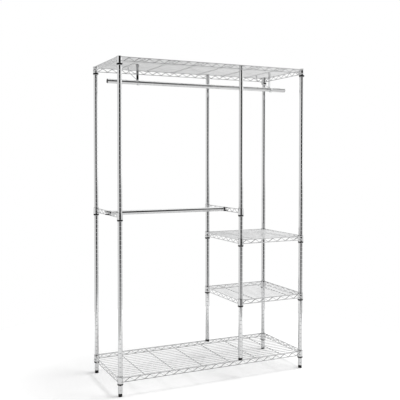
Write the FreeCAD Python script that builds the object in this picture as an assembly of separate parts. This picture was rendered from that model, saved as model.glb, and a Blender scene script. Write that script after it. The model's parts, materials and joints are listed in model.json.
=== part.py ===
import FreeCAD, Part
import math
import os
from FreeCAD import Vector

# Open frame wardrobe: a wire rack with an upper and a lower hanging rail and a bay of small shelves.
# Millimetres. X runs to the right, Y to the back, Z up. The origin is on the floor, midway
# between the four corner posts.

# Layout of the posts
post_span_x = 1174.0
post_span_y = 424.5
bay_width = 424.5

# Posts: tubes with rolled grooves at one pitch
post_diameter = 25.4
post_wall = 1.2
groove_pitch = 25.4
groove_depth = 0.6
groove_width = 2.4
first_groove = 18.2
post_above_top_groove = 22.0

# The groove, counted from the lowest one, that each level hangs on
bottom_shelf_groove = 2
lower_small_shelf_groove = 16
upper_small_shelf_groove = 30
side_frame_groove = 37
top_shelf_groove = 70

# Split sleeves that carry the shelves, measured from the groove that they grip
sleeve_drop = 23.5
sleeve_height = 46.6
sleeve_clearance = 0.06
sleeve_bottom_wall = 2.2
sleeve_top_wall = 1.5
sleeve_band_height = 8.5
sleeve_band_wall = 3.2
sleeve_seam = 0.4
bead_clearance = 0.1

# Collars of the shelves and side frames
collar_height = 37.0
collar_wall = 1.2
collar_clearance = 0.1
collar_seat_gap = 0.1

# Wires
edge_wire_diameter = 5.0
snake_wire_diameter = 4.0
mat_wire_diameter = 3.4
cross_wire_diameter = 5.0
weld_depth = 0.6
top_wire_inset = 4.5
bottom_wire_inset = 10.0
truss_post_clearance = 0.5
mat_wire_count = 15
wide_cross_wire_count = 6
small_cross_wire_count = 2
wide_cross_wire_end_gap = 142.0
small_cross_wire_end_gap = 92.0
wide_snake_periods = 20
small_snake_periods = 7
wide_snake_shift = 9.0
shelf_snake_flat_share = 0.24
frame_snake_flat_share = 0.5

# Levelling feet with their studs, and the threaded inserts in the posts
foot_height = 18.0
foot_diameter = 23.0
foot_top_diameter = 21.6
foot_chamfer = 1.5
foot_post_gap = 0.3
stud_diameter = 8.0
stud_embed = 10.0
stud_reach = 18.0
stud_clearance = 0.08
insert_length = 22.0
plug_clearance = 0.05

# Caps and plugs of the posts
post_cap_dome = 3.0
post_cap_spigot = 14.0
middle_foot_height = 13.6
top_plug_height = 3.0
middle_plug_spigot = 16.0
slot_clearance = 0.2

# Hanging rails
rail_diameter = 25.0
rail_wall = 1.0
rail_overhang = 4.0
rail_drop = 105.0
rail_cap_length = 1.5
rail_cap_chamfer = 0.5
rail_spigot = 14.0

# Hooks that hang the upper rail on the mat of the top shelf
hook_width = 14.0
hook_thickness = 3.0
hook_lip = 6.0
hook_tail = 6.0
hook_plate_width = 18.0
hook_plate_height = 14.0
hook_rail_clearance = 0.3
hook_wire_clearance = 0.1
left_hook_inset = 40.5
right_hook_outset = 45.0

# Braces from the hooks back to another wire of the mat
brace_diameter = 5.0
brace_mat_wires_back = 5
brace_pin_drop = 88.0
brace_bend_drop = 22.0
brace_lead = 6.0
brace_bend_radius = 9.0
brace_tail = 5.0
brace_head_diameter = 8.0
brace_head_height = 2.0
brace_hole_clearance = 0.15

# Fork ends of the lower rail, which snap between the two wires of a side frame
fork_collar_start = 4.0
fork_collar_length = 8.0
fork_collar_flange = 0.6
fork_reach = 18.0
fork_prong_width = 8.0
fork_prong_height = 6.0
fork_notch_depth = 1.0
fork_notch_clearance = 0.2

# How far a cutting tool runs past what it cuts
overrun = 2.0

full_turn = 360.0
half_turn = 180.0
quarter_turn = 90.0
x_axis = Vector(1, 0, 0)
y_axis = Vector(0, 1, 0)
z_axis = Vector(0, 0, 1)
origin = Vector(0, 0, 0)

# Sizes that follow from those above
post_radius = post_diameter / 2
post_bore_radius = post_radius - post_wall
post_length = first_groove + top_shelf_groove * groove_pitch + post_above_top_groove
post_bottom = foot_height
post_top = post_bottom + post_length
half_x = post_span_x / 2
half_y = post_span_y / 2
middle_x = half_x - bay_width
bay_x = half_x - bay_width / 2

sleeve_bore_radius = post_radius + sleeve_clearance
sleeve_bottom = -sleeve_drop
sleeve_top = sleeve_bottom + sleeve_height
band_top = sleeve_bottom + sleeve_band_height
collar_bottom = band_top + collar_seat_gap
collar_top = collar_bottom + collar_height
top_wire_z = collar_top - top_wire_inset
bottom_wire_z = collar_bottom + bottom_wire_inset
mat_pitch = post_span_y / (mat_wire_count - 1)
cross_wire_z = top_wire_z - (mat_wire_diameter + cross_wire_diameter) / 2 + weld_depth
truss_offset = post_radius + truss_post_clearance + edge_wire_diameter / 2

rail_radius = rail_diameter / 2
rail_bore_radius = rail_radius - rail_wall
rail_spigot_radius = rail_bore_radius - plug_clearance
hook_wire_radius = mat_wire_diameter / 2 + hook_wire_clearance
hook_rail_radius = rail_radius + hook_rail_clearance
hook_wire_y = mat_wire_count // 2 * mat_pitch - half_y
rail_offset = hook_wire_radius + hook_thickness + hook_rail_radius
rail_y = hook_wire_y - rail_offset


def groove_z(count):
    """Height of a groove; every post's grooves lie on the same grid."""
    return post_bottom + first_groove + count * groove_pitch


def wire(start, end, diameter):
    """A straight round wire between two points."""
    run = end - start
    return Part.makeCylinder(diameter / 2, run.Length, start, run)


def turned(points):
    """The solid that an outline of (radius, height) points sweeps round the Z axis."""
    corners = [Vector(radius, 0, height) for radius, height in points]
    face = Part.Face(Part.makePolygon(corners + corners[:1]))
    return face.revolve(origin, z_axis, full_turn)


def tube(radius, bore_radius, length, start, direction):
    """A round tube."""
    outside = Part.makeCylinder(radius, length, start, direction)
    return outside.cut(Part.makeCylinder(bore_radius, length, start, direction))


def placed(shape, x, y, z):
    """A copy of a shape, moved by the given amounts."""
    copy = shape.copy()
    copy.translate(Vector(x, y, z))
    return copy


# Posts, their caps, inserts and feet
def grooved_post(low, high):
    """A post between two heights, with every groove of the grid that falls between them."""
    outline = [(post_bore_radius, low), (post_radius, low)]
    for count in range(top_shelf_groove + 1):
        height = groove_z(count)
        if low + groove_width < height < high - groove_width:
            outline.append((post_radius, height - groove_width / 2))
            outline.append((post_radius - groove_depth, height))
            outline.append((post_radius, height + groove_width / 2))
    outline += [(post_radius, high), (post_bore_radius, high)]
    return turned(outline)


def post_cap():
    """A domed plug in the upper end of a corner post, with its height counted from that end."""
    sphere_radius = (post_radius**2 + post_cap_dome**2) / (2 * post_cap_dome)
    dome_centre = Vector(0, 0, post_cap_dome - sphere_radius)
    dome = Part.makeSphere(sphere_radius, dome_centre)
    head = Part.makeCylinder(post_radius, post_cap_dome).common(dome)
    spigot_radius = post_bore_radius - plug_clearance
    spigot = Part.makeCylinder(spigot_radius, post_cap_spigot, Vector(0, 0, -post_cap_spigot))
    return head.fuse(spigot).removeSplitter()


def thread_insert():
    """The plug in the lower end of a corner post that takes the foot's stud."""
    bore = stud_diameter / 2 + stud_clearance
    start = Vector(0, 0, post_bottom)
    return tube(post_bore_radius - plug_clearance, bore, insert_length, start, z_axis)


def levelling_foot():
    """A moulded foot with a socket for its stud."""
    top = foot_height - foot_post_gap
    socket = stud_diameter / 2 + plug_clearance
    floor = top - stud_embed
    outline = [
        (0, 0),
        (foot_diameter / 2 - foot_chamfer, 0),
        (foot_diameter / 2, foot_chamfer),
        (foot_top_diameter / 2, top),
        (socket, top),
        (socket, floor),
        (0, floor),
    ]
    return turned(outline)


def foot_stud():
    """The stud that a foot turns on."""
    start = foot_height - foot_post_gap - stud_embed
    end = post_bottom + stud_reach
    return Part.makeCylinder(stud_diameter / 2, end - start, Vector(0, 0, start))


# Plugs that stand the middle posts on one mat wire and hold them under another
def slotted_plug(seat, head_end, tube_end):
    """A plug slotted for a mat wire along X, whose near side is at seat; its spigot is in the post."""
    away = 1 if tube_end > head_end else -1
    low = min(head_end, tube_end)
    head = Part.makeCylinder(post_radius, abs(tube_end - head_end), Vector(0, 0, low))
    spigot_radius = post_bore_radius - plug_clearance
    spigot_start = Vector(0, 0, tube_end)
    spigot = Part.makeCylinder(spigot_radius, middle_plug_spigot, spigot_start, z_axis * away)
    roof = seat + slot_clearance * away
    slot_width = mat_wire_diameter + slot_clearance + slot_clearance
    slot_depth = abs(roof - head_end) + overrun
    slot_low = min(roof, roof - slot_depth * away)
    slot_corner = Vector(-post_diameter, -slot_width / 2, slot_low)
    slot = Part.makeBox(post_diameter + post_diameter, slot_width, slot_depth, slot_corner)
    return head.fuse(spigot).cut(slot).removeSplitter()


# Sleeves
def cone_radius(height):
    """Outer radius of a sleeve's taper at a height above its groove."""
    fraction = (height - band_top) / (sleeve_top - band_top)
    wall = sleeve_bottom_wall + (sleeve_top_wall - sleeve_bottom_wall) * fraction
    return sleeve_bore_radius + wall


def split_sleeve(with_bead):
    """Two half sleeves round a post; the bead lies in a groove, and a plain bore slides along the post."""
    band_radius = sleeve_bore_radius + sleeve_band_wall
    outline = [(sleeve_bore_radius, sleeve_bottom)]
    if with_bead:
        bead_radius = post_radius - groove_depth + bead_clearance
        bead_half = (sleeve_bore_radius - bead_radius) * groove_width / groove_depth / 2
        outline.append((sleeve_bore_radius, -bead_half))
        outline.append((bead_radius, 0))
        outline.append((sleeve_bore_radius, bead_half))
    outline += [
        (sleeve_bore_radius, sleeve_top),
        (cone_radius(sleeve_top), sleeve_top),
        (cone_radius(band_top), band_top),
        (band_radius, band_top),
        (band_radius, sleeve_bottom),
    ]
    length = 2 * (band_radius + overrun)
    seam_corner = Vector(-length / 2, -sleeve_seam / 2, sleeve_bottom - overrun)
    seam = Part.makeBox(length, sleeve_seam, sleeve_height + overrun + overrun, seam_corner)
    return turned(outline).cut(seam)


def collar():
    """The tapered ring that drops over a sleeve, before its bore is cut."""
    low_radius = cone_radius(collar_bottom) + collar_clearance + collar_wall
    high_radius = cone_radius(collar_top) + collar_clearance + collar_wall
    return Part.makeCone(low_radius, high_radius, collar_height, Vector(0, 0, collar_bottom))


def collar_bore():
    """The space that a collar leaves for its sleeve."""
    low = collar_bottom - overrun
    high = collar_top + overrun
    low_radius = cone_radius(low) + collar_clearance
    high_radius = cone_radius(high) + collar_clearance
    return Part.makeCone(low_radius, high_radius, high - low, Vector(0, 0, low))


# Wire work
def truss(length, periods, flat_share, flat_centre, end_margin):
    """Two edge wires along X with slanted wires between them; one upper gap lies at flat_centre."""
    half = length / 2
    wires = []
    for height in (top_wire_z, bottom_wire_z):
        start = Vector(-half, 0, height)
        wires.append(wire(start, Vector(half, 0, height), edge_wire_diameter))
    period = length / periods
    flat = flat_share * period / 2
    run = period / 2 - flat
    for count in range(-periods, periods + 1):
        for side in (-1, 1):
            upper = flat_centre + count * period + side * flat / 2
            lower = upper + side * run
            if max(abs(upper), abs(lower)) < half - end_margin:
                start = Vector(upper, 0, top_wire_z)
                wires.append(wire(start, Vector(lower, 0, bottom_wire_z), snake_wire_diameter))
    return wires


def turned_to_y(shapes):
    """Shapes that lie along X, turned to lie along Y."""
    for shape in shapes:
        shape.rotate(origin, z_axis, quarter_turn)
    return shapes


def welded(wires, collar_places):
    """One welded piece of wires and collars, with the collars bored for their sleeves."""
    collars = [placed(collar(), x, y, 0) for x, y in collar_places]
    bores = [placed(collar_bore(), x, y, 0) for x, y in collar_places]
    piece = wires[0].multiFuse(wires[1:] + collars)
    return piece.cut(Part.makeCompound(bores))


def beside_middle_post(x):
    """A cross wire's place along X, moved aside where the plug of a middle post would meet it."""
    room = post_radius + cross_wire_diameter / 2 + slot_clearance
    gap = x - middle_x
    return x if abs(gap) > room else middle_x + math.copysign(room, gap)


def cross_wire_places(width, count, end_gap):
    """Places along X of the wires that run front to back under a mat."""
    first = -width / 2 + end_gap
    step = -2 * first / (count - 1)
    return [first + step * number for number in range(count)]


def mat(width, cross_wires):
    """Close wires along X that lie on a few wires from front to back."""
    wires = []
    for number in range(mat_wire_count):
        y = -half_y + number * mat_pitch
        outermost = number in (0, mat_wire_count - 1)
        reach = width / 2 if outermost else width / 2 + truss_offset
        start = Vector(-reach, y, top_wire_z)
        wires.append(wire(start, Vector(reach, y, top_wire_z), mat_wire_diameter))
    reach = half_y + truss_offset
    for x in cross_wires:
        start = Vector(x, -reach, cross_wire_z)
        wires.append(wire(start, Vector(x, reach, cross_wire_z), cross_wire_diameter))
    return wires


def wire_shelf(width, periods, shift, cross_wires):
    """A shelf on four posts, with z = 0 at the groove that its sleeves grip."""
    wires = mat(width, cross_wires)
    for side in (-1, 1):
        along_x = truss(width, periods, shelf_snake_flat_share, shift, 0)
        wires += [placed(shape, 0, side * (half_y + truss_offset), 0) for shape in along_x]
        along_y = turned_to_y(truss(post_span_y, small_snake_periods, shelf_snake_flat_share, 0, 0))
        wires += [placed(shape, side * (width / 2 + truss_offset), 0, 0) for shape in along_y]
    corners = [(x, y) for x in (-width / 2, width / 2) for y in (-half_y, half_y)]
    return welded(wires, corners)


def side_frame():
    """A truss between two posts, one behind the other, with a gap between its slanted wires at the rail."""
    margin = post_radius + sleeve_bottom_wall + collar_wall + snake_wire_diameter
    along_x = truss(post_span_y, small_snake_periods, frame_snake_flat_share, rail_y, margin)
    wires = turned_to_y(along_x)
    return welded(wires, [(0, -half_y), (0, half_y)])


# Hanging rails
def rail_tube(length, x, z):
    """A rail along X with its middle at x."""
    return tube(rail_radius, rail_bore_radius, length, Vector(x - length / 2, rail_y, z), x_axis)


def rail_cap():
    """The plug in the right end of the upper rail, with X counted from that end."""
    outline = [
        (0, -rail_spigot),
        (rail_spigot_radius, -rail_spigot),
        (rail_spigot_radius, 0),
        (rail_radius, 0),
        (rail_radius, rail_cap_length - rail_cap_chamfer),
        (rail_radius - rail_cap_chamfer, rail_cap_length),
        (0, rail_cap_length),
    ]
    cap = turned(outline)
    cap.rotate(origin, y_axis, quarter_turn)
    return cap


def fork_end():
    """The end of the lower rail that points right: X counted from the side frame, Z from the rail's axis."""
    collar_end = -fork_collar_start
    collar_start = collar_end - fork_collar_length
    ring_radius = rail_radius + fork_collar_flange
    ring = Part.makeCylinder(ring_radius, fork_collar_length, Vector(collar_start, 0, 0), x_axis)
    spigot_start = Vector(collar_start - rail_spigot, 0, 0)
    spigot = Part.makeCylinder(rail_spigot_radius, rail_spigot, spigot_start, x_axis)
    wire_height = (top_wire_z - bottom_wire_z) / 2
    prong_outside = wire_height - edge_wire_diameter / 2 + fork_notch_depth
    notch_radius = edge_wire_diameter / 2 + fork_notch_clearance
    piece = ring.fuse(spigot)
    for side in (-1, 1):
        low = min(side * prong_outside, side * (prong_outside - fork_prong_height))
        corner = Vector(collar_end, -fork_prong_width / 2, low)
        length = fork_reach - collar_end
        piece = piece.fuse(Part.makeBox(length, fork_prong_width, fork_prong_height, corner))
        notch_start = Vector(0, -fork_prong_width, side * wire_height)
        notch_length = fork_prong_width + fork_prong_width
        piece = piece.cut(Part.makeCylinder(notch_radius, notch_length, notch_start, y_axis))
    return piece.removeSplitter()


# Hooks and braces of the upper rail, in the hook's plane and counted from the axis of its mat wire
def outline_face(steps):
    """A face from a list of points in the YZ plane; a step of three points is an arc."""
    edges = []
    here = steps[0]
    for step in steps[1:]:
        if isinstance(step, tuple):
            middle, end = step
            edges.append(Part.Arc(here, middle, end).toShape())
            here = end
        else:
            edges.append(Part.makeLine(here, step))
            here = step
    return Part.Face(Part.Wire(edges))


def at(y, z):
    """A point of the hook's own plane."""
    return Vector(0, y, z)


def rail_hook():
    """A flat strap bent over the middle mat wire above and round the rail below."""
    wire_inside = hook_wire_radius
    wire_outside = hook_wire_radius + hook_thickness
    rail_inside = hook_rail_radius
    rail_outside = hook_rail_radius + hook_thickness
    low = -rail_drop
    steps = [
        at(-wire_inside, low),
        at(-wire_inside, 0),
        (at(0, wire_inside), at(wire_inside, 0)),
        at(wire_inside, -hook_tail),
        at(wire_outside, -hook_tail),
        at(wire_outside, 0),
        (at(0, wire_outside), at(-wire_outside, 0)),
        at(-wire_outside, low),
        (at(-rail_offset, low - rail_inside), at(-rail_offset - rail_inside, low)),
        at(-rail_offset - rail_inside, low + hook_lip),
        at(-rail_offset - rail_outside, low + hook_lip),
        at(-rail_offset - rail_outside, low),
        (at(-rail_offset, low - rail_outside), at(-wire_inside, low)),
    ]
    strap = outline_face(steps).extrude(Vector(hook_width, 0, 0))
    strap.translate(Vector(-hook_width / 2, 0, 0))
    plate_corner = Vector(-hook_plate_width / 2, -wire_outside, -hook_plate_height)
    plate = Part.makeBox(hook_plate_width, hook_thickness, hook_plate_height, plate_corner)
    hole_radius = brace_diameter / 2 + brace_hole_clearance
    hole_start = Vector(0, -wire_outside - overrun, -brace_pin_drop)
    hole = Part.makeCylinder(hole_radius, hook_thickness + overrun + overrun, hole_start, y_axis)
    return strap.fuse(plate).cut(hole).removeSplitter()


def bend(before, corner, after, radius):
    """The arc of a radius that rounds a corner, as its two ends and its middle."""
    inward = (before - corner).normalize()
    outward = (after - corner).normalize()
    half_angle = inward.getAngle(outward) / 2
    cut_back = radius / math.tan(half_angle)
    to_middle = (inward + outward).normalize() * (radius / math.sin(half_angle) - radius)
    return corner + inward * cut_back, corner + to_middle, corner + outward * cut_back


def hook_brace():
    """A rod riveted through the hook's strap, which rises to the back and hooks over a mat wire."""
    wire_y = brace_mat_wires_back * mat_pitch
    hook_radius = mat_wire_diameter / 2 + hook_wire_clearance + brace_diameter / 2
    front = -hook_wire_radius - hook_thickness
    pin = at(front, -brace_pin_drop)
    lead = at(-hook_wire_radius + brace_lead, -brace_pin_drop)
    turn = at(wire_y - hook_radius, -brace_bend_drop)
    over_start = at(wire_y - hook_radius, 0)
    over_middle = at(wire_y, hook_radius)
    over_end = at(wire_y + hook_radius, 0)
    first_start, first_middle, first_end = bend(pin, lead, turn, brace_bend_radius)
    second_start, second_middle, second_end = bend(lead, turn, over_start, brace_bend_radius)
    path = Part.Wire([
        Part.makeLine(pin, first_start),
        Part.Arc(first_start, first_middle, first_end).toShape(),
        Part.makeLine(first_end, second_start),
        Part.Arc(second_start, second_middle, second_end).toShape(),
        Part.makeLine(second_end, over_start),
        Part.Arc(over_start, over_middle, over_end).toShape(),
        Part.makeLine(over_end, at(wire_y + hook_radius, -brace_tail)),
    ])
    section = Part.Wire(Part.makeCircle(brace_diameter / 2, pin, y_axis))
    rod = path.makePipeShell([section], True, False)
    head = Part.makeCylinder(brace_head_diameter / 2, brace_head_height, pin, y_axis * -1)
    return rod.fuse(head).removeSplitter()


# The assembly: every piece by its name
parts = {}
corner_names = {
    "front_left": (-half_x, -half_y),
    "front_right": (half_x, -half_y),
    "back_left": (-half_x, half_y),
    "back_right": (half_x, half_y),
}
middle_names = {"middle_front": (middle_x, -half_y), "middle_back": (middle_x, half_y)}
right_names = {name: place for name, place in corner_names.items() if name.endswith("right")}
bay_names = middle_names | right_names
left_names = {name: place for name, place in corner_names.items() if name.endswith("left")}

# Corner posts and what is at their ends
corner_post = grooved_post(post_bottom, post_top)
inserts = []
for name, (x, y) in corner_names.items():
    parts["post_" + name] = placed(corner_post, x, y, 0)
    parts["post_cap_" + name] = placed(post_cap(), x, y, post_top)
    parts["foot_" + name] = placed(levelling_foot(), x, y, 0)
    parts["foot_stud_" + name] = placed(foot_stud(), x, y, 0)
    inserts.append(placed(thread_insert(), x, y, 0))
parts["post_thread_inserts"] = Part.makeCompound(inserts)

# Middle posts between the bottom shelf's mat and the top shelf's mat
lower_mat = groove_z(bottom_shelf_groove) + top_wire_z
upper_mat = groove_z(top_shelf_groove) + top_wire_z
lower_seat = lower_mat + mat_wire_diameter / 2
upper_seat = upper_mat - mat_wire_diameter / 2
lower_head = groove_z(bottom_shelf_groove) + cross_wire_z + cross_wire_diameter / 2 + slot_clearance
upper_head = upper_mat
lower_tube = lower_head + middle_foot_height
upper_tube = upper_head - top_plug_height
middle_post = grooved_post(lower_tube, upper_tube)
for name, (x, y) in middle_names.items():
    parts["post_" + name] = placed(middle_post, x, y, 0)
    parts["post_foot_" + name] = placed(slotted_plug(lower_seat, lower_head, lower_tube), x, y, 0)
    parts["post_top_plug_" + name] = placed(slotted_plug(upper_seat, upper_head, upper_tube), x, y, 0)

# Shelves and side frames, each with its sleeves
even_places = cross_wire_places(post_span_x, wide_cross_wire_count, wide_cross_wire_end_gap)
wide_cross_wires = [beside_middle_post(x) for x in even_places]
small_cross_wires = cross_wire_places(bay_width, small_cross_wire_count, small_cross_wire_end_gap)
wide_shelf = wire_shelf(post_span_x, wide_snake_periods, -wide_snake_shift, wide_cross_wires)
small_shelf = wire_shelf(bay_width, small_snake_periods, 0, small_cross_wires)
frame = side_frame()
gripping_sleeve = split_sleeve(True)
sliding_sleeve = split_sleeve(False)
levels = [
    ("top_shelf", wide_shelf, 0, top_shelf_groove, corner_names, gripping_sleeve),
    ("bottom_shelf", wide_shelf, 0, bottom_shelf_groove, corner_names, gripping_sleeve),
    ("upper_small_shelf", small_shelf, bay_x, upper_small_shelf_groove, bay_names, sliding_sleeve),
    ("lower_small_shelf", small_shelf, bay_x, lower_small_shelf_groove, bay_names, sliding_sleeve),
    ("left_side_frame", frame, -half_x, side_frame_groove, left_names, sliding_sleeve),
    ("middle_side_frame", frame, middle_x, side_frame_groove, middle_names, sliding_sleeve),
]
for level, shape, level_x, groove, places, sleeve in levels:
    parts[level] = placed(shape, level_x, 0, groove_z(groove))
    for name, (x, y) in places.items():
        parts[level + "_sleeve_" + name] = placed(sleeve, x, y, groove_z(groove))

# Upper rail with its caps, hooks and braces
upper_rail_z = upper_mat - rail_drop
upper_rail_length = post_span_x + rail_overhang + rail_overhang
parts["upper_rail"] = rail_tube(upper_rail_length, 0, upper_rail_z)
parts["upper_rail_cap_right"] = placed(rail_cap(), upper_rail_length / 2, rail_y, upper_rail_z)
left_cap = rail_cap()
left_cap.rotate(origin, z_axis, half_turn)
parts["upper_rail_cap_left"] = placed(left_cap, -upper_rail_length / 2, rail_y, upper_rail_z)
hook_places = {
    "left": wide_cross_wires[0] + left_hook_inset,
    "right": wide_cross_wires[-1] + right_hook_outset,
}
for name, x in hook_places.items():
    parts["rail_hook_" + name] = placed(rail_hook(), x, hook_wire_y, upper_mat)
    parts["hook_brace_" + name] = placed(hook_brace(), x, hook_wire_y, upper_mat)

# Lower rail between the side frames
lower_rail_z = groove_z(side_frame_groove) + (top_wire_z + bottom_wire_z) / 2
lower_rail_margin = fork_collar_start + fork_collar_length
lower_rail_length = middle_x + half_x - lower_rail_margin - lower_rail_margin
parts["lower_rail"] = rail_tube(lower_rail_length, (middle_x - half_x) / 2, lower_rail_z)
parts["lower_rail_fork_right"] = placed(fork_end(), middle_x, rail_y, lower_rail_z)
left_fork = fork_end()
left_fork.rotate(origin, z_axis, half_turn)
parts["lower_rail_fork_left"] = placed(left_fork, -half_x, rail_y, lower_rail_z)

os.makedirs("parts", exist_ok=True)
for name, shape in parts.items():
    shape.exportStep("parts/" + name + ".step")
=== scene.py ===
import json
import math

import bmesh
import bpy
from mathutils import Matrix, Vector

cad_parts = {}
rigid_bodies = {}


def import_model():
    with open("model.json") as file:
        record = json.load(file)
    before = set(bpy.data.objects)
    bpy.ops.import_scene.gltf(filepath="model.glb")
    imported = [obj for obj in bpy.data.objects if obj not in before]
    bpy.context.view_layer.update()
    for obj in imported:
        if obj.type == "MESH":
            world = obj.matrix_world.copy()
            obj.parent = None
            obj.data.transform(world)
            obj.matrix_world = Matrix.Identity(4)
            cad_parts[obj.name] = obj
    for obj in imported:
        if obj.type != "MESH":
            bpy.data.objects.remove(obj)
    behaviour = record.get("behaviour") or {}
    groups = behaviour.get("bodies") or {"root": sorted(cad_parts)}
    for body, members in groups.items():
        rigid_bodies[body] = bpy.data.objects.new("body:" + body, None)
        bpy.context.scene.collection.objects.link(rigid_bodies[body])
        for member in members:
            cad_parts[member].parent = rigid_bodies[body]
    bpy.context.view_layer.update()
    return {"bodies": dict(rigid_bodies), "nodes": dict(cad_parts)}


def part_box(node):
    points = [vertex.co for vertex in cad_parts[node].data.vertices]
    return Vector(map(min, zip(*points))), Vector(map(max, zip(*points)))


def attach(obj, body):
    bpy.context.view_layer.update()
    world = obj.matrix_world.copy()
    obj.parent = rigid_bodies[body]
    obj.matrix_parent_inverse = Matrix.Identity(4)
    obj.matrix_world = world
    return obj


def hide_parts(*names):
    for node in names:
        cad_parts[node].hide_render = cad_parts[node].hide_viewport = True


# Open frame wardrobe: the looks. Metres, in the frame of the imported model.
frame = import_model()

# How many sides and steps the round forms have
post_sides = 32
collar_sides = 36
rail_sides = 40
wire_sides = 12
mat_sides = 10
groove_steps = 2
bend_steps = 4
lip_steps = 4
dome_steps = 7
sharp_angle = math.radians(32)

# Posts and their rolled grooves
groove_pitch = 0.0254
first_groove = 0.0182
groove_depth = 0.0006
groove_width = 0.0024
groove_shoulder = 0.0003
post_wall = 0.0012
post_edge = 0.0004

# Sleeves and collars
sleeve_clearance = 0.00006
sleeve_bottom_wall = 0.0022
sleeve_top_wall = 0.0015
sleeve_band_height = 0.0085
sleeve_band_wall = 0.0032
sleeve_seam = 0.0004
sleeve_edge = 0.0006
collar_wall = 0.0012
collar_clearance = 0.0001
collar_lip = 0.0005
collar_flat_margin = 0.0008

# Wires
edge_wire_diameter = 0.005
snake_wire_diameter = 0.004
mat_wire_diameter = 0.0034
cross_wire_diameter = 0.005
weld_depth = 0.0006
top_wire_inset = 0.0045
bottom_wire_inset = 0.01
truss_post_clearance = 0.0005
mat_wire_count = 15
wide_cross_wire_count = 6
small_cross_wire_count = 2
wide_cross_wire_end_gap = 0.142
small_cross_wire_end_gap = 0.092
wide_snake_periods = 20
small_snake_periods = 7
wide_snake_shift = 0.009
shelf_snake_flat_share = 0.24
frame_snake_flat_share = 0.5
snake_bend_radius = 0.004
snake_frame_margin = 0.0201
wire_end_length = 0.0008
wire_end_share = 0.65

# Feet, caps and plugs
foot_edge = 0.0015
foot_top_edge = 0.0008
foot_taper = 0.0007
cap_rim = 0.0006
rail_wall = 0.001
rail_edge = 0.0003
rail_cap_edge = 0.0006
rail_cap_back_edge = 0.0002

# Hooks and braces of the upper rail
hook_width = 0.014
hook_thickness = 0.003
hook_chamfer = 0.0006
hook_plate_width = 0.018
hook_plate_height = 0.014
hook_plate_corner = 0.0025
hook_lip = 0.006
hook_flat_margin = 0.001
hook_tail = 0.006
hook_wire_clearance = 0.0001
hook_rail_clearance = 0.0003
brace_diameter = 0.005
brace_pin_drop = 0.088
brace_bend_drop = 0.022
brace_lead = 0.006
brace_bend_radius = 0.009
brace_tail = 0.005
brace_mat_wires_back = 5
brace_head_diameter = 0.008
brace_head_height = 0.002

# Chrome plate
chrome_dark = (0.58, 0.585, 0.59)
chrome_pale = (0.62, 0.62, 0.62)
chrome_edge_tint = (0.75, 0.75, 0.75, 1)
chrome_tint_scale = 25.0
chrome_tint_detail = 2.0
chrome_rough_low = 0.05
chrome_rough_high = 0.13
chrome_rough_scale = 90.0
chrome_rough_detail = 3.0
chrome_ripple_scale = 40.0
chrome_ripple_detail = 2.0
chrome_ripple_strength = 0.02
chrome_ripple_height = 0.0004

# Moulded plastic, black and grey
black_dark = (0.006, 0.006, 0.007)
black_pale = (0.012, 0.012, 0.013)
black_rough_low = 0.42
black_rough_high = 0.55
black_specular = 0.25
grey_dark = (0.40, 0.41, 0.42)
grey_pale = (0.50, 0.50, 0.50)
grey_rough_low = 0.38
grey_rough_high = 0.55
grey_specular = 0.5
plastic_tint_scale = 60.0
plastic_tint_detail = 3.0
plastic_rough_scale = 700.0
plastic_rough_detail = 2.0
plastic_grain_scale = 2600.0
plastic_grain_detail = 2.0
plastic_grain_strength = 0.15
plastic_grain_height = 0.0001

# Zinc plate
zinc_dark = (0.50, 0.51, 0.52)
zinc_pale = (0.62, 0.62, 0.60)
zinc_tint_scale = 120.0
zinc_tint_detail = 4.0
zinc_rough_low = 0.28
zinc_rough_high = 0.45
zinc_rough_scale = 400.0
zinc_rough_detail = 3.0

# Values that several materials and forms share
full_metal = 1.0
white = (1, 1, 1, 1)
up_axis = (0, 0, 1)
quarter_turn = math.pi / 2

# The photograph's camera
camera_place = Vector((-1.7227, -3.4307, 1.2763))
camera_yaw = math.radians(24.327)
camera_pitch = math.radians(-1.675)
camera_lens = 57.02
camera_sensor = 36.0
camera_shift_x = 0.0650
camera_shift_y = -0.0510
camera_near = 0.05
camera_far = 60.0


# Surfaces as a list of points and a list of faces
def strip_faces(rows, columns, rows_closed, columns_closed):
    """Four-sided faces between the rows and columns of a grid of points."""
    faces = []
    for row in range(rows if rows_closed else rows - 1):
        for column in range(columns if columns_closed else columns - 1):
            next_row = (row + 1) % rows
            next_column = (column + 1) % columns
            faces.append((
                row * columns + column,
                row * columns + next_column,
                next_row * columns + next_column,
                next_row * columns + column,
            ))
    return faces


def lathe(profile, sides, hollow):
    """A profile of (radius, height) points turned round Z; a hollow profile is a closed loop."""
    points = []
    for radius, height in profile:
        for side in range(sides):
            angle = math.tau * side / sides
            points.append((radius * math.cos(angle), radius * math.sin(angle), height))
    faces = strip_faces(len(profile), sides, hollow, True)
    if not hollow:
        last = (len(profile) - 1) * sides
        faces.append(tuple(range(sides)))
        faces.append(tuple(last + side for side in range(sides)))
    return points, faces


def part_lathe(profile, sides, start, end):
    """A closed profile turned only from one angle to another, with its two ends closed."""
    count = len(profile)
    points = []
    for side in range(sides + 1):
        angle = start + (end - start) * side / sides
        for radius, height in profile:
            points.append((radius * math.cos(angle), radius * math.sin(angle), height))
    faces = strip_faces(sides + 1, count, False, True)
    faces.append(tuple(range(count)))
    faces.append(tuple(sides * count + place for place in range(count)))
    return points, faces


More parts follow.
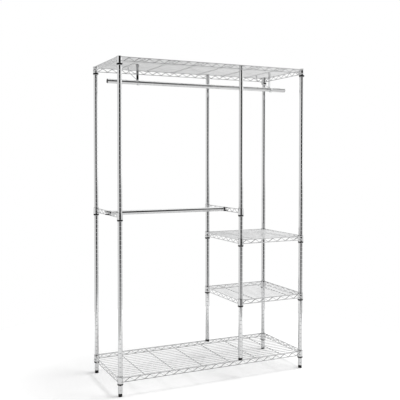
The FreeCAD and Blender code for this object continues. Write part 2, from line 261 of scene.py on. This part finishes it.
def sweep(path, radii, sides):
    """A round tube along a path, with a radius for each of its points."""
    path = [Vector(point) for point in path]
    tangents = []
    for number in range(len(path)):
        before = path[max(number - 1, 0)]
        after = path[min(number + 1, len(path) - 1)]
        tangents.append((after - before).normalized())
    normal = tangents[0].orthogonal().normalized()
    points = []
    for place, tangent, radius in zip(path, tangents, radii):
        normal = (normal - tangent * normal.dot(tangent)).normalized()
        across = tangent.cross(normal)
        for side in range(sides):
            angle = math.tau * side / sides
            points.append(tuple(place + (normal * math.cos(angle) + across * math.sin(angle)) * radius))
    faces = strip_faces(len(path), sides, False, True)
    last = (len(path) - 1) * sides
    faces.append(tuple(range(sides)))
    faces.append(tuple(last + side for side in range(sides)))
    return points, faces


def rod(path, diameter, sides):
    """A wire along a path, with its two ends rounded off."""
    path = [Vector(point) for point in path]
    first = (path[1] - path[0]).normalized() * wire_end_length
    last = (path[-2] - path[-1]).normalized() * wire_end_length
    radius = diameter / 2
    inner = [path[0] + first] + path[1:-1] + [path[-1] + last]
    radii = [radius * wire_end_share] + [radius] * len(inner) + [radius * wire_end_share]
    return sweep([path[0]] + inner + [path[-1]], radii, sides)


def arc(centre_y, centre_z, radius, start, end, steps):
    """Points of an arc in a (y, z) plane; angles run from the y direction towards z."""
    angles = [start + (end - start) * step / steps for step in range(steps + 1)]
    return [(centre_y + radius * math.cos(a), centre_z + radius * math.sin(a)) for a in angles]


def lower_edge(radius, low, edge):
    """A quarter arc that eases the lower edge of a turned form."""
    return arc(radius - edge, low + edge, edge, -quarter_turn, 0, lip_steps)


def upper_edge(radius, high, edge):
    """A quarter arc that eases the upper edge of a turned form."""
    return arc(radius - edge, high - edge, edge, 0, quarter_turn, lip_steps)


def rounded(corners, radius, steps):
    """A path whose inner corners are rounded with arcs of a radius."""
    corners = [Vector(corner) for corner in corners]
    path = [corners[0]]
    for before, corner, after in zip(corners, corners[1:], corners[2:]):
        inward = (before - corner).normalized()
        outward = (after - corner).normalized()
        half_angle = inward.angle(outward) / 2
        cut_back = radius / math.tan(half_angle)
        centre = corner + (inward + outward).normalized() * (radius / math.sin(half_angle))
        start = corner + inward * cut_back - centre
        end = corner + outward * cut_back - centre
        for step in range(steps + 1):
            path.append(centre + start.slerp(end, step / steps) * radius)
    return path + [corners[-1]]


def moved(shape, x, y, z):
    """A shape moved by the given amounts."""
    points, faces = shape
    return [(px + x, py + y, pz + z) for px, py, pz in points], faces


def along_x(shape):
    """A shape round Z, turned to lie round X."""
    points, faces = shape
    return [(pz, px, py) for px, py, pz in points], faces


def along_y(shape):
    """A shape round Z, turned to lie round Y."""
    points, faces = shape
    return [(py, pz, px) for px, py, pz in points], faces


def turned_round(shape):
    """A shape turned half round about Z."""
    points, faces = shape
    return [(-px, -py, pz) for px, py, pz in points], faces


def joined(shapes):
    """Several shapes as one list of points and faces."""
    all_points = []
    all_faces = []
    for points, faces in shapes:
        start = len(all_points)
        all_points += points
        all_faces += [tuple(start + index for index in face) for face in faces]
    return all_points, all_faces


# Materials
def new_material(name):
    """A new node material, with its tree and its shader."""
    material = bpy.data.materials.new(name)
    material.use_nodes = True
    tree = material.node_tree
    shader = tree.nodes["Principled BSDF"]
    return material, tree, shader


def noise(tree, scale, detail):
    """A noise texture in the object's own metres."""
    place = tree.nodes.new("ShaderNodeTexCoord")
    texture = tree.nodes.new("ShaderNodeTexNoise")
    texture.inputs["Scale"].default_value = scale
    texture.inputs["Detail"].default_value = detail
    tree.links.new(place.outputs["Object"], texture.inputs["Vector"])
    return texture.outputs["Fac"]


def between(tree, value, low, high):
    """A value from 0 to 1 spread between two others."""
    spread = tree.nodes.new("ShaderNodeMapRange")
    spread.inputs["To Min"].default_value = low
    spread.inputs["To Max"].default_value = high
    tree.links.new(value, spread.inputs["Value"])
    return spread.outputs["Result"]


def two_colours(tree, value, low, high):
    """A colour between two others."""
    ramp = tree.nodes.new("ShaderNodeValToRGB")
    ramp.color_ramp.elements[0].color = (*low, 1)
    ramp.color_ramp.elements[1].color = (*high, 1)
    tree.links.new(value, ramp.inputs["Fac"])
    return ramp.outputs["Color"]


def bumped(tree, shader, height, strength, distance):
    """A bump on a shader's normal."""
    bump = tree.nodes.new("ShaderNodeBump")
    bump.inputs["Strength"].default_value = strength
    bump.inputs["Distance"].default_value = distance
    tree.links.new(height, bump.inputs["Height"])
    tree.links.new(bump.outputs["Normal"], shader.inputs["Normal"])


def chrome_material():
    """Chrome plate: a bright mirror with a slight ripple and uneven polish."""
    material, tree, shader = new_material("chrome_plate")
    shader.inputs["Metallic"].default_value = full_metal
    shader.inputs["Specular Tint"].default_value = chrome_edge_tint
    polish = noise(tree, chrome_rough_scale, chrome_rough_detail)
    tree.links.new(between(tree, polish, chrome_rough_low, chrome_rough_high), shader.inputs["Roughness"])
    tint = noise(tree, chrome_tint_scale, chrome_tint_detail)
    tree.links.new(two_colours(tree, tint, chrome_dark, chrome_pale), shader.inputs["Base Color"])
    ripple = noise(tree, chrome_ripple_scale, chrome_ripple_detail)
    bumped(tree, shader, ripple, chrome_ripple_strength, chrome_ripple_height)
    return material


def plastic_material(name, dark, pale, rough_low, rough_high, specular):
    """Moulded plastic with a fine grain."""
    material, tree, shader = new_material(name)
    shader.inputs["Specular IOR Level"].default_value = specular
    colour = two_colours(tree, noise(tree, plastic_tint_scale, plastic_tint_detail), dark, pale)
    tree.links.new(colour, shader.inputs["Base Color"])
    rough = between(tree, noise(tree, plastic_rough_scale, plastic_rough_detail), rough_low, rough_high)
    tree.links.new(rough, shader.inputs["Roughness"])
    grain = noise(tree, plastic_grain_scale, plastic_grain_detail)
    bumped(tree, shader, grain, plastic_grain_strength, plastic_grain_height)
    return material


def zinc_material():
    """Zinc-plated steel: duller than chrome, with a cloudy tint."""
    material, tree, shader = new_material("zinc_plate")
    shader.inputs["Metallic"].default_value = full_metal
    colour = two_colours(tree, noise(tree, zinc_tint_scale, zinc_tint_detail), zinc_dark, zinc_pale)
    tree.links.new(colour, shader.inputs["Base Color"])
    rough = between(tree, noise(tree, zinc_rough_scale, zinc_rough_detail), zinc_rough_low, zinc_rough_high)
    tree.links.new(rough, shader.inputs["Roughness"])
    return material


materials = {
    "chrome": chrome_material(),
    "black_plastic": plastic_material(
        "black_plastic", black_dark, black_pale, black_rough_low, black_rough_high, black_specular),
    "grey_plastic": plastic_material(
        "grey_plastic", grey_dark, grey_pale, grey_rough_low, grey_rough_high, grey_specular),
    "zinc_steel": zinc_material(),
}

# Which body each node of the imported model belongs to
bodies = {node: body for node, part in frame["nodes"].items()
          for body, empty in frame["bodies"].items() if part.parent is empty}


def piece(node, kind, shape, slot):
    """One finished piece that stands for a node and moves with the node's body."""
    points, faces = shape
    mesh = bpy.data.meshes.new(node + "_" + kind)
    mesh.from_pydata(points, [], faces)
    work = bmesh.new()
    work.from_mesh(mesh)
    bmesh.ops.recalc_face_normals(work, faces=work.faces)
    work.to_mesh(mesh)
    work.free()
    mesh.shade_smooth()
    mesh.set_sharp_from_angle(angle=sharp_angle)
    mesh.materials.append(materials[slot])
    thing = bpy.data.objects.new(node + "_" + kind, mesh)
    bpy.context.scene.collection.objects.link(thing)
    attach(thing, bodies[node])
    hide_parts(node)


def kept(node, slot):
    """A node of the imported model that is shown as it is, with a finished material."""
    part = frame["nodes"][node]
    part.data.materials.clear()
    part.data.materials.append(materials[slot])


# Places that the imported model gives
corner_names = ("front_left", "front_right", "back_left", "back_right")
middle_names = ("middle_front", "middle_back")
right_names = ("front_right", "back_right")
left_names = ("front_left", "back_left")


def centre_of(node):
    """The middle of a node's box."""
    low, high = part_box(node)
    return (low + high) / 2


post_places = {name: centre_of("post_" + name) for name in corner_names + middle_names}
half_y = post_places["back_left"].y
post_low, post_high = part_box("post_front_left")
post_radius = (post_high.x - post_low.x) / 2
post_bore = post_radius - post_wall
sleeve_bore = post_radius + sleeve_clearance
post_span_y = half_y + half_y
mat_pitch = post_span_y / (mat_wire_count - 1)
truss_offset = post_radius + truss_post_clearance + edge_wire_diameter / 2


# Posts with their rolled grooves
def post_shape(low, high):
    """A grooved tube between two heights; its grooves lie on the corner posts' grid."""
    profile = [(post_bore, low), (post_radius - post_edge, low), (post_radius, low + post_edge)]
    height = post_low.z + first_groove
    while height < high - groove_width:
        if height > low + groove_width:
            profile.append((post_radius, height - groove_width / 2 - groove_shoulder))
            for step in range(-groove_steps, groove_steps + 1):
                share = step / groove_steps
                depth = groove_depth * (1 + math.cos(math.pi * share)) / 2
                profile.append((post_radius - depth, height + share * groove_width / 2))
            profile.append((post_radius, height + groove_width / 2 + groove_shoulder))
        height += groove_pitch
    profile += [(post_radius, high - post_edge), (post_radius - post_edge, high), (post_bore, high)]
    return lathe(profile, post_sides, True)


for name, place in post_places.items():
    low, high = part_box("post_" + name)
    piece("post_" + name, "tube", moved(post_shape(low.z, high.z), place.x, place.y, 0), "chrome")


# Post caps and levelling feet
def cap_shape(radius, low, dome):
    """A domed cap with a narrow rim."""
    sphere = (radius**2 + dome**2) / (2 * dome)
    centre = low + dome - sphere
    rim_angle = math.asin((radius - cap_rim) / sphere)
    profile = [(radius - cap_rim, low), (radius, low + cap_rim / 2)]
    for step in range(dome_steps):
        angle = rim_angle * (1 - step / dome_steps)
        profile.append((sphere * math.sin(angle), centre + sphere * math.cos(angle)))
    return lathe(profile, post_sides, False)


def foot_shape(low, high, radius, top_radius):
    """A foot with a rounded lower edge and a softer upper one."""
    profile = lower_edge(radius, low, foot_edge) + upper_edge(top_radius, high, foot_top_edge)
    return lathe(profile, post_sides, False)


for name in corner_names:
    place = post_places[name]
    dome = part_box("post_cap_" + name)[1].z - post_high.z
    shape = cap_shape(post_radius, post_high.z, dome)
    piece("post_cap_" + name, "dome", moved(shape, place.x, place.y, 0), "grey_plastic")
    low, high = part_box("foot_" + name)
    foot_radius = (high.x - low.x) / 2
    shape = foot_shape(low.z, high.z, foot_radius, foot_radius - foot_taper)
    piece("foot_" + name, "moulding", moved(shape, place.x, place.y, 0), "black_plastic")
    kept("foot_stud_" + name, "zinc_steel")
kept("post_thread_inserts", "zinc_steel")
for name in middle_names:
    kept("post_foot_" + name, "black_plastic")
    kept("post_top_plug_" + name, "black_plastic")


# Sleeves
def sleeve_shape(low, high):
    """Two half sleeves with a rim below and a taper above."""
    band_top = low + sleeve_band_height
    band_radius = sleeve_bore + sleeve_band_wall
    profile = [(sleeve_bore, low)]
    profile += lower_edge(band_radius, low, sleeve_edge) + upper_edge(band_radius, band_top, sleeve_edge)
    profile += [
        (sleeve_bore + sleeve_bottom_wall, band_top),
        (sleeve_bore + sleeve_top_wall, high - sleeve_edge / 2),
        (sleeve_bore + sleeve_top_wall - sleeve_edge / 2, high),
        (sleeve_bore, high),
    ]
    gap = sleeve_seam / 2 / band_radius
    back = part_lathe(profile, collar_sides // 2, gap, math.pi - gap)
    front = part_lathe(profile, collar_sides // 2, math.pi + gap, math.tau - gap)
    return joined([back, front])


def collar_shape(low, high, sleeve_low, sleeve_high):
    """A tapered ring with rolled lips."""
    band_top = sleeve_low + sleeve_band_height
    taper = (sleeve_top_wall - sleeve_bottom_wall) / (sleeve_high - band_top)

    def bore(height):
        return sleeve_bore + sleeve_bottom_wall + taper * (height - band_top) + collar_clearance

    outer_low = bore(low) + collar_wall
    outer_high = bore(high) + collar_wall
    flat_low = low + collar_lip + collar_flat_margin
    flat_high = high - collar_lip - collar_flat_margin
    profile = lower_edge(outer_low, low, collar_lip)
    profile += [(bore(flat_low) + collar_wall, flat_low), (bore(flat_high) + collar_wall, flat_high)]
    profile += upper_edge(outer_high, high, collar_lip)
    profile += [(bore(high), high), (bore(low), low)]
    return lathe(profile, collar_sides, True)


# Wire work
def snake_corners(length, periods, flat_share, flat_centre, end_margin, high, low):
    """Corners of the slanted wire between two edge wires, as (place along the truss, height)."""
    period = length / periods
    flat = flat_share * period / 2
    run = period / 2 - flat
    half = length / 2
    slants = []
    for count in range(-periods, periods + 1):
        for side in (-1, 1):
            upper = flat_centre + count * period + side * flat / 2
            lower = upper + side * run
            if max(abs(upper), abs(lower)) < half - end_margin:
                slants.append(sorted([(upper, high), (lower, low)]))
    corners = [corner for slant in sorted(slants) for corner in slant]
    first = (corners[0][0] - flat / 2, corners[0][1])
    last = (corners[-1][0] + flat / 2, corners[-1][1])
    return [first] + corners + [last]


def truss(length, periods, flat_share, flat_centre, end_margin, high, low, placing):
    """Two edge wires and a slanted wire between them; placing turns (along, height) into a point."""
    half = length / 2
    shapes = []
    for height in (high, low):
        shapes.append(rod([placing(-half, height), placing(half, height)], edge_wire_diameter, wire_sides))
    inset = (edge_wire_diameter + snake_wire_diameter) / 2 - weld_depth
    corners = snake_corners(length, periods, flat_share, flat_centre, end_margin, high - inset, low + inset)
    path = rounded([placing(along, height) for along, height in corners], snake_bend_radius, bend_steps)
    shapes.append(rod(path, snake_wire_diameter, wire_sides))
    return shapes


def cross_wire_places(width, count, end_gap):
    """Places along X, from the shelf's middle, of the wires from front to back."""
    first = end_gap - width / 2
    step = -2 * first / (count - 1)
    return [first + step * number for number in range(count)]


def mat(centre_x, width, cross_wires, height):
    """Close wires along X on a few wires from front to back."""
    shapes = []
    for number in range(mat_wire_count):
        y = -half_y + number * mat_pitch
        outermost = number in (0, mat_wire_count - 1)
        reach = width / 2 - post_radius if outermost else width / 2 + truss_offset
        ends = [(centre_x - reach, y, height), (centre_x + reach, y, height)]
        shapes.append(rod(ends, mat_wire_diameter, mat_sides))
    drop = (mat_wire_diameter + cross_wire_diameter) / 2 - weld_depth
    reach = half_y + truss_offset
    for place in cross_wires:
        x = centre_x + place
        ends = [(x, -reach, height - drop), (x, reach, height - drop)]
        shapes.append(rod(ends, cross_wire_diameter, wire_sides))
    return shapes


def collars_and_sleeves(node, names):
    """The collars of a shelf or side frame as shapes; its sleeves become pieces of their own."""
    low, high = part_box(node)
    shapes = []
    for name in names:
        place = post_places[name]
        sleeve = node + "_sleeve_" + name
        sleeve_low, sleeve_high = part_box(sleeve)
        shape = moved(sleeve_shape(sleeve_low.z, sleeve_high.z), place.x, place.y, 0)
        piece(sleeve, "halves", shape, "black_plastic")
        ring = collar_shape(low.z, high.z, sleeve_low.z, sleeve_high.z)
        shapes.append(moved(ring, place.x, place.y, 0))
    return shapes


def wire_shelf(node, names, periods, shift, cross_wire_count, end_gap):
    """A shelf: its mat, four trusses and four collars."""
    low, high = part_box(node)
    top_wire = high.z - top_wire_inset
    bottom_wire = low.z + bottom_wire_inset
    xs = [post_places[name].x for name in names]
    centre_x = (min(xs) + max(xs)) / 2
    width = max(xs) - min(xs)
    shapes = mat(centre_x, width, cross_wire_places(width, cross_wire_count, end_gap), top_wire)
    for side in (-1, 1):
        y = side * (half_y + truss_offset)
        x = centre_x + side * (width / 2 + truss_offset)
        shapes += truss(width, periods, shelf_snake_flat_share, shift, 0, top_wire, bottom_wire,
                        lambda along, height, y=y: (centre_x + along, y, height))
        shapes += truss(post_span_y, small_snake_periods, shelf_snake_flat_share, 0, 0, top_wire, bottom_wire,
                        lambda along, height, x=x: (x, along, height))
    shapes += collars_and_sleeves(node, names)
    piece(node, "wirework", joined(shapes), "chrome")


def side_frame(node, names, rail_y):
    """A truss between two posts, with a gap in its slanted wire for the rail."""
    low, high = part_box(node)
    x = post_places[names[0]].x
    shapes = truss(post_span_y, small_snake_periods, frame_snake_flat_share, rail_y, snake_frame_margin,
                   high.z - top_wire_inset, low.z + bottom_wire_inset,
                   lambda along, height: (x, along, height))
    shapes += collars_and_sleeves(node, names)
    piece(node, "wirework", joined(shapes), "chrome")


rail_place = centre_of("upper_rail")
for node in ("top_shelf", "bottom_shelf"):
    wire_shelf(node, corner_names, wide_snake_periods, -wide_snake_shift, wide_cross_wire_count,
               wide_cross_wire_end_gap)
for node in ("upper_small_shelf", "lower_small_shelf"):
    wire_shelf(node, middle_names + right_names, small_snake_periods, 0, small_cross_wire_count,
               small_cross_wire_end_gap)
side_frame("left_side_frame", left_names, rail_place.y)
side_frame("middle_side_frame", middle_names, rail_place.y)


# Hanging rails and their ends
def rail_shape(node):
    """A tube along X with eased ends."""
    low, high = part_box(node)
    centre = (low + high) / 2
    radius = (high.z - low.z) / 2
    profile = [
        (radius - rail_wall, low.x),
        (radius - rail_edge, low.x),
        (radius, low.x + rail_edge),
        (radius, high.x - rail_edge),
        (radius - rail_edge, high.x),
        (radius - rail_wall, high.x),
    ]
    return moved(along_x(lathe(profile, rail_sides, True)), 0, centre.y, centre.z)


def rail_cap_shape(radius, length):
    """An end cap that points right, with its length counted from the rail's end."""
    profile = lower_edge(radius, 0, rail_cap_back_edge) + upper_edge(radius, length, rail_cap_edge)
    return along_x(lathe(profile, rail_sides, False))


for node in ("upper_rail", "lower_rail"):
    piece(node, "tube", rail_shape(node), "chrome")
rail_low, rail_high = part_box("upper_rail")
cap_low, cap_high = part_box("upper_rail_cap_right")
cap_form = rail_cap_shape((cap_high.z - cap_low.z) / 2, cap_high.x - rail_high.x)
for side, end_x, form in (("right", rail_high.x, cap_form), ("left", rail_low.x, turned_round(cap_form))):
    piece("upper_rail_cap_" + side, "plug", moved(form, end_x, rail_place.y, rail_place.z), "black_plastic")
for side in ("left", "right"):
    kept("lower_rail_fork_" + side, "black_plastic")


# Hooks and braces of the upper rail
def strap(path, widths):
    """A flat strap with eased edges along a path in the YZ plane, with its width along X."""
    points = []
    count = len(path)
    for number, (y, z) in enumerate(path):
        before = path[max(number - 1, 0)]
        after = path[min(number + 1, count - 1)]
        run_y = after[0] - before[0]
        run_z = after[1] - before[1]
        length = math.hypot(run_y, run_z)
        across_y = -run_z / length
        across_z = run_y / length
        half = widths[number] / 2
        thick = hook_thickness / 2
        ring = [
            (half - hook_chamfer, thick), (half, thick - hook_chamfer),
            (half, hook_chamfer - thick), (half - hook_chamfer, -thick),
            (hook_chamfer - half, -thick), (-half, hook_chamfer - thick),
            (-half, thick - hook_chamfer), (hook_chamfer - half, thick),
        ]
        points += [(x, y + across_y * off, z + across_z * off) for x, off in ring]
    sides = len(points) // count
    faces = strip_faces(count, sides, False, True)
    faces.append(tuple(range(sides)))
    faces.append(tuple((count - 1) * sides + side for side in range(sides)))
    return points, faces


def hook_shape(rail_offset, rail_drop):
    """A strap over a mat wire, down the front and round the rail, with a wider plate near its top."""
    wire_middle = mat_wire_diameter / 2 + hook_wire_clearance + hook_thickness / 2
    rail_middle = (rail_high.z - rail_low.z) / 2 + hook_rail_clearance + hook_thickness / 2
    front = -wire_middle
    over_steps = lip_steps * 2
    path = [(wire_middle, -hook_tail)]
    path += arc(0, 0, wire_middle, 0, math.pi, over_steps)
    widths = [hook_width] * len(path)
    half_corner = hook_plate_corner / 2
    middle_width = (hook_width + hook_plate_width) / 2
    plate = [
        (half_corner, middle_width), (hook_plate_corner, hook_plate_width),
        (hook_plate_height - hook_plate_corner, hook_plate_width),
        (hook_plate_height - half_corner, middle_width), (hook_plate_height, hook_width),
        (hook_plate_height + hook_flat_margin, hook_width), (rail_drop - hook_flat_margin, hook_width),
    ]
    for drop, width in plate:
        path.append((front, -drop))
        widths.append(width)
    bottom = arc(-rail_offset, -rail_drop, rail_middle, 0, -math.pi, over_steps + over_steps)
    path += bottom
    path.append((bottom[-1][0], hook_lip - rail_drop))
    widths += [hook_width] * (len(bottom) + 1)
    return strap(path, widths)


def brace_shape():
    """A bent rod from the hook's strap back and up over another mat wire, with a rivet head."""
    wire_y = brace_mat_wires_back * mat_pitch
    over_radius = mat_wire_diameter / 2 + hook_wire_clearance + brace_diameter / 2
    wire_front = mat_wire_diameter / 2 + hook_wire_clearance
    pin = (0, -wire_front - hook_thickness, -brace_pin_drop)
    lead = (0, brace_lead - wire_front, -brace_pin_drop)
    turn = (0, wire_y - over_radius, -brace_bend_drop)
    rise = (0, wire_y - over_radius, 0)
    path = rounded([pin, lead, turn, rise], brace_bend_radius, bend_steps + bend_steps)
    over = arc(wire_y, 0, over_radius, math.pi, 0, bend_steps + bend_steps)
    path = path[:-1] + [Vector((0, y, z)) for y, z in over]
    path.append(Vector((0, wire_y + over_radius, -brace_tail)))
    head_radius = brace_head_diameter / 2
    dome = [(head_radius, 0)]
    for step in range(1, dome_steps):
        angle = quarter_turn * step / dome_steps
        dome.append((head_radius * math.cos(angle), -brace_head_height * math.sin(angle)))
    head = moved(along_y(lathe(dome, rail_sides, False)), *pin)
    return joined([rod(path, brace_diameter, rail_sides), head])


mat_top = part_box("top_shelf")[1].z - top_wire_inset
for side in ("left", "right"):
    x = centre_of("rail_hook_" + side).x
    shape = hook_shape(-rail_place.y, mat_top - rail_place.z)
    piece("rail_hook_" + side, "strap", moved(shape, x, 0, mat_top), "chrome")
    piece("hook_brace_" + side, "rod", moved(brace_shape(), x, 0, mat_top), "chrome")


# Nodes for the studio
def calculated(tree, operation, first, second):
    """One operation on two values, each a number or another node's output."""
    node = tree.nodes.new("ShaderNodeMath")
    node.operation = operation
    for place, value in enumerate((first, second)):
        if isinstance(value, float):
            node.inputs[place].default_value = value
        else:
            tree.links.new(value, node.inputs[place])
    return node.outputs["Value"]


def along(tree, direction, axis):
    """How far a direction points along an axis."""
    node = tree.nodes.new("ShaderNodeVectorMath")
    node.operation = "DOT_PRODUCT"
    node.inputs[1].default_value = axis
    tree.links.new(direction, node.inputs[0])
    return node.outputs["Value"]


def soft_step(tree, value, start, end):
    """0 before start, 1 after end, and smooth between them."""
    node = tree.nodes.new("ShaderNodeMapRange")
    node.interpolation_type = "SMOOTHSTEP"
    node.inputs["From Min"].default_value = start
    node.inputs["From Max"].default_value = end
    tree.links.new(value, node.inputs["Value"])
    return node.outputs["Result"]


def linear_step(tree, value, start, end):
    """0 before start, 1 after end, and even between them."""
    node = tree.nodes.new("ShaderNodeMapRange")
    node.inputs["From Min"].default_value = start
    node.inputs["From Max"].default_value = end
    tree.links.new(value, node.inputs["Value"])
    return node.outputs["Result"]


def within(tree, value, low, low_edge, high, high_edge):
    """1 between two limits and 0 outside them; each limit has its own softness."""
    start = soft_step(tree, value, low - low_edge, low + low_edge)
    end = soft_step(tree, value, high + high_edge, high - high_edge)
    return calculated(tree, "MULTIPLY", start, end)


def mixed(tree, share, first, second):
    """A value between two others."""
    node = tree.nodes.new("ShaderNodeMix")
    for name, value in (("A", first), ("B", second), ("Factor", share)):
        if isinstance(value, float):
            node.inputs[name].default_value = value
        else:
            tree.links.new(value, node.inputs[name])
    return node.outputs["Result"]


# Studio: a white room whose darker parts show in reflections alone
wall_left = math.radians(-24)
wall_left_edge = math.radians(4)
wall_right = math.radians(55)
wall_right_edge = math.radians(8)
wall_low = math.radians(-2)
wall_low_edge = math.radians(2)
wall_high = math.radians(68)
wall_high_edge = math.radians(8)
wall_level = 0.0
far_floor_left = math.radians(-22)
far_floor_left_edge = math.radians(5)
far_floor_right = math.radians(58)
far_floor_right_edge = math.radians(20)
far_floor_top = math.radians(-1)
far_floor_top_edge = math.radians(1.5)
far_floor_dark = math.radians(-7)
far_floor_pale = math.radians(-16)
far_floor_dark_level = 0.03
far_floor_pale_level = 0.82
far_floor_power = 1.5
room_left = math.radians(0)
room_right = math.radians(75)
room_left_level = 1.08
room_right_level = 1.6
room_low_right_level = 1.0
horizon = math.radians(-2)
horizon_edge = math.radians(1)
ceiling_start = math.radians(60)
ceiling_end = math.radians(80)
ceiling_level = 0.5
beam_left = math.radians(58)
beam_right = math.radians(105)
beam_low = math.radians(35)
beam_high = math.radians(58)
beam_edge = math.radians(8)
beam_level = 0.25
near_floor_start = math.radians(-10)
near_floor_end = math.radians(-16)
near_floor_level = 0.93
soft_light_level = 0.4
white_level = 1.0


def room_angles(tree):
    """Four angles of a direction in the room, counted from the direction to the camera."""
    direction = tree.nodes.new("ShaderNodeTexCoord").outputs["Generated"]
    to_camera = Vector((camera_place.x, camera_place.y, 0)).normalized()
    to_right = Vector((-to_camera.y, to_camera.x, 0))
    rightward = along(tree, direction, to_right)
    nearward = along(tree, direction, to_camera)
    upward = along(tree, direction, up_axis)
    turn = calculated(tree, "ARCTAN2", rightward, nearward)
    rise = calculated(tree, "ARCSINE", upward, 0.0)
    sideways = calculated(tree, "ARCSINE", rightward, 0.0)
    overhead = calculated(tree, "ARCTAN2", upward, nearward)
    return turn, rise, sideways, overhead


def pale_room(tree, turn, rise):
    """The level of the pale room: brighter on the right, with a greyer ceiling and a pale floor nearby."""
    above = soft_step(tree, rise, horizon - horizon_edge, horizon + horizon_edge)
    right_level = mixed(tree, above, room_low_right_level, room_right_level)
    level = mixed(tree, soft_step(tree, turn, room_left, room_right), room_left_level, right_level)
    level = mixed(tree, soft_step(tree, rise, ceiling_start, ceiling_end), level, ceiling_level)
    return mixed(tree, soft_step(tree, rise, near_floor_start, near_floor_end), level, near_floor_level)


def with_far_floor(tree, level, turn, rise):
    """A level with the darker floor far behind the camera, which grows paler towards the rack."""
    nearness = linear_step(tree, rise, far_floor_dark, far_floor_pale)
    paleness = calculated(tree, "POWER", nearness, far_floor_power)
    far_floor = mixed(tree, paleness, far_floor_dark_level, far_floor_pale_level)
    share = within(tree, turn, far_floor_left, far_floor_left_edge, far_floor_right, far_floor_right_edge)
    below = soft_step(tree, rise, far_floor_top + far_floor_top_edge, far_floor_top - far_floor_top_edge)
    return mixed(tree, calculated(tree, "MULTIPLY", share, below), level, far_floor)


def with_beam(tree, level, turn, rise):
    """A level with the dark beam high up on the right."""
    share = calculated(tree, "MULTIPLY", within(tree, turn, beam_left, beam_edge, beam_right, beam_edge),
                       within(tree, rise, beam_low, beam_edge, beam_high, beam_edge))
    return mixed(tree, share, level, beam_level)


def with_wall(tree, level, sideways, overhead):
    """A level with the dark wall behind the camera."""
    share = calculated(tree, "MULTIPLY",
                       within(tree, sideways, wall_left, wall_left_edge, wall_right, wall_right_edge),
                       within(tree, overhead, wall_low, wall_low_edge, wall_high, wall_high_edge))
    return mixed(tree, share, level, wall_level)


def mirror_rays(tree):
    """Which rays come from the camera, and which from a mirror or through glass."""
    rays = tree.nodes.new("ShaderNodeLightPath").outputs
    mirrored = calculated(tree, "MAXIMUM", rays["Is Glossy Ray"], rays["Is Transmission Ray"])
    return rays["Is Camera Ray"], mirrored


def studio_world():
    """White to the camera, an even soft light on the surfaces, and the room in the mirrors."""
    world = bpy.data.worlds.new("studio")
    bpy.context.scene.world = world
    world.use_nodes = True
    tree = world.node_tree
    background = tree.nodes["Background"]
    turn, rise, sideways, overhead = room_angles(tree)
    room = with_far_floor(tree, pale_room(tree, turn, rise), turn, rise)
    room = with_wall(tree, with_beam(tree, room, turn, rise), sideways, overhead)
    seen, mirrored = mirror_rays(tree)
    level = mixed(tree, seen, mixed(tree, mirrored, soft_light_level, room), white_level)
    tree.links.new(level, background.inputs["Strength"])
    background.inputs["Color"].default_value = white


studio_world()

# Floor: white to the camera and to mirrors, with the soft shadow that falls on it
floor_radius = 1.7
floor_sides = 96
floor_glow = 0.31
floor_edge_glow = 0.55
floor_glow_start = 0.7
floor_glow_end = 1.6
floor_pale = (0.80, 0.80, 0.80, 1)
floor_roughness = 1.0
floor_specular = 0.0


def floor_material():
    """A pale matt floor, whose glow to the camera and to mirrors grows towards its edge."""
    material, tree, shader = new_material("studio_floor")
    shader.inputs["Base Color"].default_value = floor_pale
    shader.inputs["Roughness"].default_value = floor_roughness
    shader.inputs["Specular IOR Level"].default_value = floor_specular
    shader.inputs["Emission Color"].default_value = white
    distance = tree.nodes.new("ShaderNodeVectorMath")
    distance.operation = "LENGTH"
    tree.links.new(tree.nodes.new("ShaderNodeTexCoord").outputs["Object"], distance.inputs[0])
    outward = soft_step(tree, distance.outputs["Value"], floor_glow_start, floor_glow_end)
    glow = mixed(tree, outward, floor_glow, floor_edge_glow)
    seen, mirrored = mirror_rays(tree)
    shown = calculated(tree, "MAXIMUM", seen, mirrored)
    tree.links.new(calculated(tree, "MULTIPLY", shown, glow), shader.inputs["Emission Strength"])
    return material


def studio_floor():
    """A round floor under the rack."""
    mesh = bpy.data.meshes.new("studio_floor")
    angles = [math.tau * side / floor_sides for side in range(floor_sides)]
    ring = [(floor_radius * math.cos(angle), floor_radius * math.sin(angle), 0) for angle in angles]
    mesh.from_pydata(ring, [], [tuple(range(floor_sides))])
    mesh.materials.append(floor_material())
    floor = bpy.data.objects.new("studio_floor", mesh)
    bpy.context.scene.collection.objects.link(floor)


studio_floor()

# A large soft light from above on the right
light_place = Vector((1.4, -0.6, 6.0))
light_aim = Vector((0, 0, 0))
light_size = 2.0
light_power = 230.0


def soft_light():
    """A square lamp that mirrors don't show."""
    lamp = bpy.data.lights.new("soft_box", "AREA")
    lamp.shape = "SQUARE"
    lamp.size = light_size
    lamp.energy = light_power
    light = bpy.data.objects.new("soft_box", lamp)
    light.location = light_place
    light.visible_glossy = False
    light.rotation_mode = "QUATERNION"
    light.rotation_quaternion = (light_aim - light_place).to_track_quat("-Z", "Y")
    bpy.context.scene.collection.objects.link(light)


soft_light()


# Camera
def photo_camera():
    """The camera at the photograph's viewing angle."""
    forward = Vector((
        math.sin(camera_yaw) * math.cos(camera_pitch),
        math.cos(camera_yaw) * math.cos(camera_pitch),
        math.sin(camera_pitch),
    ))
    right = Vector((math.cos(camera_yaw), -math.sin(camera_yaw), 0))
    up = right.cross(forward)
    lens = bpy.data.cameras.new("photo_camera")
    lens.lens = camera_lens
    lens.sensor_width = camera_sensor
    lens.shift_x = camera_shift_x
    lens.shift_y = camera_shift_y
    lens.clip_start = camera_near
    lens.clip_end = camera_far
    camera = bpy.data.objects.new("photo_camera", lens)
    rotation = Matrix((right, up, -forward)).transposed().to_4x4()
    camera.matrix_world = Matrix.Translation(camera_place) @ rotation
    bpy.context.scene.collection.objects.link(camera)
    bpy.context.scene.camera = camera


photo_camera()
bpy.context.scene.view_settings.view_transform = "Standard"
